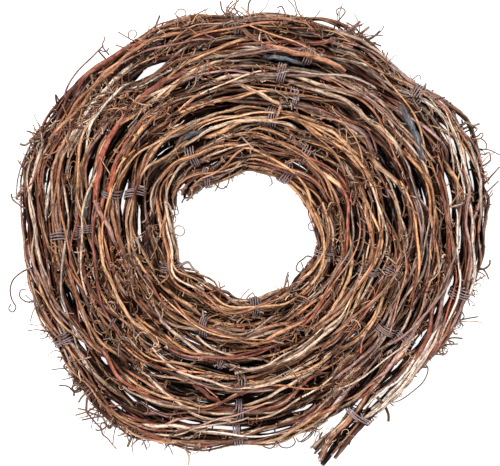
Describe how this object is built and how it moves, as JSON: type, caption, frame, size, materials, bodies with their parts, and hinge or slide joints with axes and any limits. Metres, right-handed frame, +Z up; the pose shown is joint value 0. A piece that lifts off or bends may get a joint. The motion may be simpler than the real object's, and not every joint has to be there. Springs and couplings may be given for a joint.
{
  "type": "grapevine garland",
  "caption": "Long garland of dry grapevine, bound with wire ties and coiled flat, for draping, winding or shaping into wreaths",
  "frame": {"origin": "middle of the bounding box, on the flats that the coil rests on", "axes": "+Z up, through the hole of the coil; the loose outer end points towards -Y"},
  "size_m": [0.364, 0.348, 0.0355],
  "materials": {
    "tan_vine": "dry golden-brown vine, matte",
    "red_vine": "dry red-brown vine, matte",
    "grey_vine": "weathered grey-brown vine, matte",
    "tie_wire": "paper-covered dark brown wire"
  },
  "bodies": {
    "root": {"vine_bunch_01": "tan_vine", "vine_bunch_02": "grey_vine", "vine_bunch_03": "tan_vine", "vine_bunch_04": "red_vine", "vine_bunch_05": "tan_vine", "vine_bunch_06": "grey_vine", "vine_bunch_07": "tan_vine", "vine_bunch_08": "red_vine", "vine_bunch_09": "tan_vine", "vine_bunch_10": "grey_vine", "vine_bunch_11": "tan_vine", "vine_bunch_12": "red_vine", "vine_bunch_13": "tan_vine", "vine_bunch_14": "grey_vine", "vine_bunch_15": "tan_vine", "vine_bunch_16": "red_vine", "vine_bunch_17": "tan_vine", "vine_bunch_18": "grey_vine", "vine_bunch_19": "tan_vine", "vine_bunch_20": "red_vine", "vine_bunch_21": "tan_vine", "vine_bunch_22": "grey_vine", "vine_bunch_23": "tan_vine", "vine_bunch_24": "red_vine", "vine_bunch_25": "tan_vine", "vine_bunch_26": "grey_vine", "vine_bunch_27": "tan_vine", "vine_bunch_28": "red_vine", "vine_bunch_29": "tan_vine", "vine_bunch_30": "grey_vine", "wire_tie_01": "tie_wire", "wire_tie_02": "tie_wire", "wire_tie_03": "tie_wire", "wire_tie_04": "tie_wire", "wire_tie_05": "tie_wire", "wire_tie_06": "tie_wire", "wire_tie_07": "tie_wire", "wire_tie_08": "tie_wire", "wire_tie_09": "tie_wire", "wire_tie_10": "tie_wire", "wire_tie_11": "tie_wire", "wire_tie_12": "tie_wire", "wire_tie_13": "tie_wire", "wire_tie_14": "tie_wire", "wire_tie_15": "tie_wire", "wire_tie_16": "tie_wire", "wire_tie_17": "tie_wire", "wire_tie_18": "tie_wire", "wire_tie_19": "tie_wire", "wire_tie_20": "tie_wire", "wire_tie_21": "tie_wire", "wire_tie_22": "tie_wire", "wire_tie_23": "tie_wire", "wire_tie_24": "tie_wire", "wire_tie_25": "tie_wire", "wire_tie_26": "tie_wire", "wire_tie_27": "tie_wire", "wire_tie_28": "tie_wire", "wire_tie_29": "tie_wire", "wire_tie_30": "tie_wire"}
  },
  "joints": []
}
